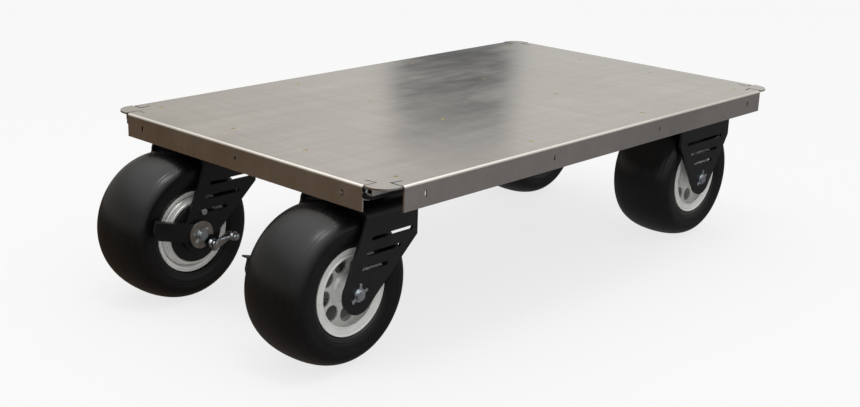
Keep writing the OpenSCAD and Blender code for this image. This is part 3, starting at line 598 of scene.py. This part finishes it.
class TRUCK_OT_rims(bpy.types.Operator):
    """Make the four rims with their rolled lips, windowed discs and hubs."""

    bl_idname = "truck.rims"
    bl_label = "Rims"

    def execute(self, context):
        grids = [(turned(rounded(RIM_BARREL, 1.4, 5), 128), True, True),
                 (turned(rounded(RIM_HUB, 1.2, 4), 64), True, True)]
        grids += windowed_disc(context.scene.truck_rims)
        for end in ENDS:
            for side in SIDES:
                body = f"wheel_{end}_{side}"
                placed = [(at_wheel(grid, body), rows, columns) for grid, rows, columns in grids]
                mesh = surface_mesh(f"rim_skin_{end}_{side}", placed, 40)
                new_piece(f"blasted_rim_{end}_{side}", mesh, body, FINISHES["rim_aluminium"],
                          [f"rim_{end}_{side}"])
        return {"FINISHED"}


# A brake drum's section as (across, r): web, wall, the flare that meets the rim, open edge.
DRUM = ((-24, 14), (-24, 53.6), (-44, 54.2), (-48.5, 57.2), (-50.5, 61.2), (-53.8, 60.4),
        (-56.4, 58.0), (-62.6, 57.0), (-65.8, 56.2), (-66.0, 52.0), (-64.6, 51.0), (-62, 50.5),
        (-27, 50.5), (-27, 14))


class TRUCK_OT_drums(bpy.types.Operator):
    """Make the two brake drums, whose flared edges fill the front rims' inner sides."""

    bl_idname = "truck.drums"
    bl_label = "Brake drums"

    def execute(self, context):
        ring = turned(rounded(DRUM, 1.6, 6), 128)
        for side in SIDES:
            body = f"wheel_front_{side}"
            mesh = surface_mesh(f"drum_skin_{side}", [(at_wheel(ring, body), True, True)], 44)
            new_piece(f"cast_drum_{side}", mesh, body, FINISHES["drum"],
                      [f"brake_drum_{side}"])
        return {"FINISHED"}


class LinkSizes(bpy.types.PropertyGroup):
    """Sizes of the brake's link rod."""

    rod: FloatProperty(name="Rod", description="Diameter of the threaded rod", unit="LENGTH",
                       default=0.0056, min=0.004)
    pitch: FloatProperty(name="Pitch", description="Pitch of the rod's thread", unit="LENGTH",
                         default=0.0010, min=0.0005)


# Places and sizes of a link in a wheel's frame, in millimetres: its two pins as (x, z), its
# middle across, half an eye's width, the eyes' bores, where the shanks end, the jam nut.
CRANK_PIN, LEVER_PIN = (15.0, -15.5), (60.8, -13.3)
LINK_ACROSS = -92
EYE_HALF = 4.5
CRANK_BORE, LEVER_BORE = 4.05, 4.4
SHANK_FROM, SHANK_TO, SHANK_R = 6.4, 11.5, 3.9
NUT_FROM, NUT_TO, NUT_FLAT = 12, 16, 4.6
THREAD_DEPTH = 0.3
CAP_FROM, CAP_R, CAP_COLLAR = -99.6, 6.2, 1.2


def link_grids(sizes, start, end):
    """A link rod between two pins, in a wheel's frame: each eye is a ring of ball section
    r = 8.2 - 2.6 (y / 4.5)^2 round its pin, and the rod between them is a tube whose radius
    swells for the jam nut and ripples as r + 0.3 cos(2 pi s / pitch) along its thread."""
    height = np.linspace(-EYE_HALF, EYE_HALF, 13)
    skin = np.stack([height, 8.2 - 2.6 * (height / EYE_HALF) ** 2], -1)
    grids = []
    for pin, bore in ((start, CRANK_BORE), (end, LEVER_BORE)):
        eye = turned(np.concatenate([skin, [[EYE_HALF, bore], [-EYE_HALF, bore]]]), 48)
        grids.append((eye + (pin[0], LINK_ACROSS, pin[1]), True, True))
    way = np.array([end[0] - start[0], 0, end[1] - start[1]])
    length = np.linalg.norm(way)
    way /= length
    beside = np.array([-way[2], 0, way[0]])
    s = np.linspace(SHANK_FROM, length - SHANK_FROM, 160)
    radius = sizes.rod / MM / 2 + THREAD_DEPTH * np.cos(2 * np.pi * s * MM / sizes.pitch)
    shank = (s < SHANK_TO) | (s > length - SHANK_TO)
    radius = np.where(shank, SHANK_R, radius)
    ring = np.arange(36) * 2 * np.pi / 36
    flats = NUT_FLAT / np.cos((ring + np.pi / 6) % (np.pi / 3) - np.pi / 6)
    nut = (s > NUT_FROM) & (s < NUT_TO)
    radius = np.where(nut[:, None], flats[None, :], radius[:, None])
    radius[[0, -1]] = 0
    middle = np.array([start[0], LINK_ACROSS, start[1]]) + s[:, None, None] * way
    tube = middle + radius[..., None] * (np.cos(ring)[:, None] * beside
                                         + np.sin(ring)[:, None] * np.array([0, 1, 0]))
    return grids + [(tube, False, True)]


def dome_grid(pin):
    """Domed cap on a pin, in a wheel's frame: r = radius (1 - s^2)^0.5 at a height of
    0.55 radius s above a collar 1.2 mm high, s running from 0 to 1."""
    s = np.linspace(0, 1, 14)
    across = np.concatenate([[CAP_FROM] * 2, CAP_FROM - CAP_COLLAR - 0.55 * CAP_R * s])
    reach = np.concatenate([[0, CAP_R], CAP_R * np.sqrt(1 - s ** 2)])
    return turned(np.stack([across, reach], -1), 40) + (pin[0], 0, pin[1])


class TRUCK_OT_links(bpy.types.Operator):
    """Make the two brake links with their ball eyes, threads and jam nuts."""

    bl_idname = "truck.links"
    bl_label = "Brake links"

    def execute(self, context):
        grids = link_grids(context.scene.truck_links, CRANK_PIN, LEVER_PIN)
        for side in SIDES:
            placed = [(at_wheel(grid, f"wheel_front_{side}"), rows, columns)
                      for grid, rows, columns in grids]
            mesh = surface_mesh(f"link_skin_{side}", placed, 34)
            new_piece(f"link_rod_{side}", mesh, f"brake_link_{side}", FINISHES["zinc"],
                      [f"brake_link_{side}"])
            for pin, body in ((CRANK_PIN, "pedal"), (LEVER_PIN, "cam_lever")):
                dome = at_wheel(dome_grid(pin), f"wheel_front_{side}")
                new_piece(f"{body}_pin_cap_{side}",
                          surface_mesh(f"cap_skin_{body}_{side}", [(dome, False, True)], 34),
                          f"{body}_{side}", FINISHES["zinc"])
        return {"FINISHED"}


# Widths of the broken edges in millimetres: parts with a left and a right one, and the rest.
EASED = {"swivel_fork": 0.6, "fixed_fork": 0.6, "pedal": 0.5, "hub_plate": 0.3,
         "cam_lever": 0.4, "anchor_bolt": 0.4, "front_retainers": 0.25, "front_axle": 0.7,
         "mount_plate_front": 0.6, "mount_plate_rear": 0.6, "riser": 0.6, "backing_plate": 0.5}
EASED_PAIRS = {"mount_bolts": 0.5, "riser_bolts": 0.5, "kingpins": 0.6, "kingpin_nuts": 0.5,
               "rear_axles": 0.7, "rear_axle_retainers": 0.25}
PLATE_REACH = 0.0506  # in metres, so that the backing plates end inside the drums' edges


class TRUCK_OT_edges(bpy.types.Operator):
    """Break the sharp edges of the plates, bolts and axles."""

    bl_idname = "truck.edges"
    bl_label = "Broken edges"

    def execute(self, context):
        widths = {f"{name}_{side}": width for name, width in EASED.items() for side in SIDES}
        widths.update(EASED_PAIRS)
        for node, width in widths.items():
            material = frame["nodes"][node].material_slots[0].material
            reach = PLATE_REACH if node.startswith("backing_plate") else None
            eased_copy(node, material, width * MM, reach)
        return {"FINISHED"}


# ---- Stage ----

# The dark doorway: its direction, the angles over which its side fades, the heights (sines)
# over which its top fades, how much of the wall it hides, and its colour.
DOOR_AZIMUTH = math.radians(41.6)
DOOR_EDGE = (math.radians(2.1), math.radians(3.1))
DOOR_TOP = (0.220, 0.275)
DOOR_DEPTH = 0.85
DOOR_COLOUR = (0.05, 0.055, 0.065)
# Where the left wall turns into the right one, and the sines between wall and ceiling.
WALL_TURN = (math.radians(44), math.radians(57))
CEILING_RISE = (0.42, 0.9)
# The floor's painted reflection, which glossy rays see in place of the pale floor: dark emission colours
# for the near and far sides. Then the share of even emission in the floor's own look.
PAINTED_REFLECTION_WARM, PAINTED_REFLECTION_COOL = (0.085, 0.058, 0.038), (0.15, 0.142, 0.145)
FLOOR_GLOW = 0.86
FLOOR_DROP = 0.0002
# The overhead lamp's direction, its distance and its two sides in metres.
LAMP_WAY = (-0.24, -0.17, 0.96)
LAMP_DISTANCE = 3.2
LAMP_SIZE = (1.2, 0.4)


def studio_world(values):
    """Soft studio light as a sky: a bright ceiling, dimmer walls that are warmer on one side,
    and a dark doorway in the far wall that the deck mirrors."""
    world = bpy.data.worlds.new("studio")
    bpy.context.scene.world = world
    world.use_nodes = True
    mix = Mixer("studio", world.node_tree)
    way = mix.add("ShaderNodeTexCoord").outputs["Generated"]
    parts = mix.add("ShaderNodeSeparateXYZ", {0: way}).outputs
    azimuth = mix.sums("ARCTAN2", parts["Y"], parts["X"])
    up = mix.spread(parts["Z"], 0.0, 1.0, *CEILING_RISE)
    wall = values.horizon
    left_wall = mix.spread(azimuth, 0.0, 1.0, *WALL_TURN)
    walls = mix.blend(left_wall, (wall, wall * 0.985, wall * 0.96),
                     (wall * 0.80, wall * 0.765, wall * 0.72))
    ceiling = values.ceiling
    sky = mix.blend(up, walls, (ceiling,) * 3)
    off = mix.sums("ABSOLUTE", mix.sums("SUBTRACT", azimuth, DOOR_AZIMUTH))
    door = mix.spread(off, 1.0, 0.0, *DOOR_EDGE)
    height = mix.spread(parts["Z"], 1.0, 0.0, *DOOR_TOP)
    sky = mix.blend(mix.sums("MULTIPLY", mix.sums("MULTIPLY", door, height), DOOR_DEPTH), sky,
                    DOOR_COLOUR)
    mix.fill(world.node_tree.nodes["Background"].inputs["Color"], sky)


def floor_material(values):
    """Matt pale floor. Glossy rays see a painted reflection instead: a dark emission, warmer on the near
    side and cooler on the far side, so that the truck mirrors the darker floor of a workshop.
    """
    mix = Mixer("pale_floor")
    grain = mix.noise((8, 8, 8), detail=3.0)
    base = mix.blend(mix.spread(grain, 0.0, 1.0), (values.floor_tone * 0.995,) * 3,
                    (values.floor_tone,) * 3)
    mix.done(base, 0.9, Specular_IOR_Level=0.0)
    parts = mix.add("ShaderNodeSeparateXYZ", {0: mix.place}).outputs
    # Painted reflection: a dark emission, warm on the near side and cool on the far side, seen by glossy
    # rays in place of the pale floor.
    across = mix.spread(mix.sums("SUBTRACT", parts["X"], parts["Y"]), 0.0, 1.0, -0.9, 0.3)
    tone = mix.blend(across, PAINTED_REFLECTION_WARM, PAINTED_REFLECTION_COOL)
    painted_reflection = mix.add("ShaderNodeEmission", {"Color": tone}).outputs[0]
    even = mix.add("ShaderNodeEmission", {"Color": (values.floor_tone,) * 3 + (1.0,),
                                          "Strength": 1.0}).outputs[0]
    matt = mix.add("ShaderNodeMixShader", {0: FLOOR_GLOW, 1: mix.shader.outputs[0],
                                            2: even})
    # Glossy rays get the painted reflection; all other rays see the pale floor.
    path = mix.add("ShaderNodeLightPath").outputs["Is Glossy Ray"]
    both = mix.add("ShaderNodeMixShader", {0: path, 1: matt.outputs[0], 2: painted_reflection})
    mix.fill(mix.tree.nodes["Material Output"].inputs["Surface"], both.outputs[0])
    return mix.material


class TRUCK_OT_studio(bpy.types.Operator):
    """Make the floor, the light and the camera."""

    bl_idname = "truck.studio"
    bl_label = "Studio"

    def execute(self, context):
        scene = context.scene
        values = scene.truck_studio
        radius = np.array([0.0, 1.0])[:, None] * values.floor_radius
        angle = 2 * np.pi * np.arange(64)[None, :] / 64
        disc = np.stack([radius * np.cos(angle), radius * np.sin(angle),
                         0 * radius * angle - FLOOR_DROP], -1)
        mesh = surface_mesh("studio_floor", [(disc, False, True)])
        if mesh.polygons[0].normal.z < 0:
            mesh.flip_normals()
        floor = bpy.data.objects.new("studio_floor", mesh)
        mesh.materials.append(floor_material(values))
        scene.collection.objects.link(floor)
        studio_world(values)
        lamp = bpy.data.lights.new("softbox", "AREA")
        lamp.shape = "RECTANGLE"
        lamp.size, lamp.size_y = LAMP_SIZE
        lamp.energy = values.softbox
        softbox = bpy.data.objects.new("softbox", lamp)
        way = np.array(LAMP_WAY) * LAMP_DISTANCE
        softbox.location = way
        softbox.rotation_euler = (math.acos(way[2] / np.linalg.norm(way)), 0,
                                  math.atan2(way[1], way[0]) + math.pi / 2)
        scene.collection.objects.link(softbox)
        eye = bpy.data.cameras.new("camera")
        eye.lens = values.lens
        eye.sensor_width = 36
        eye.clip_end = 200
        camera = bpy.data.objects.new("camera", eye)
        camera.location = values.place
        camera.rotation_euler = values.turn
        scene.collection.objects.link(camera)
        scene.camera = camera
        scene.view_settings.view_transform = "Standard"
        return {"FINISHED"}


# ---- Add-on ----

GROUPS = {"truck_finishes": FinishColours, "truck_tyres": TyreSizes, "truck_rims": RimSizes,
          "truck_links": LinkSizes, "truck_studio": StudioValues}
STEPS = ("finishes", "tyres", "rims", "drums", "links", "edges", "studio")


class TRUCK_PT_panel(bpy.types.Panel):
    """The truck's operators and values in the sidebar."""

    bl_label = "Platform truck"
    bl_space_type = "VIEW_3D"
    bl_region_type = "UI"
    bl_category = "Truck"

    def draw(self, context):
        for step in STEPS:
            self.layout.operator(f"truck.{step}")
        for group_name in GROUPS:
            group = getattr(context.scene, group_name)
            for name in group.__annotations__:
                self.layout.prop(group, name)


CLASSES = (FinishColours, TyreSizes, RimSizes, LinkSizes, StudioValues, TRUCK_OT_finishes,
           TRUCK_OT_tyres, TRUCK_OT_rims, TRUCK_OT_drums, TRUCK_OT_links, TRUCK_OT_edges,
           TRUCK_OT_studio, TRUCK_PT_panel)


def register():
    for cls in CLASSES:
        bpy.utils.register_class(cls)
    for name, group in GROUPS.items():
        setattr(bpy.types.Scene, name, PointerProperty(type=group))


def unregister():
    for name in GROUPS:
        delattr(bpy.types.Scene, name)
    for cls in reversed(CLASSES):
        bpy.utils.unregister_class(cls)


def main():
    """Register the add-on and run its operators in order."""
    register()
    for step in STEPS:
        getattr(bpy.ops.truck, step)()


if __name__ == "__main__":
    main()
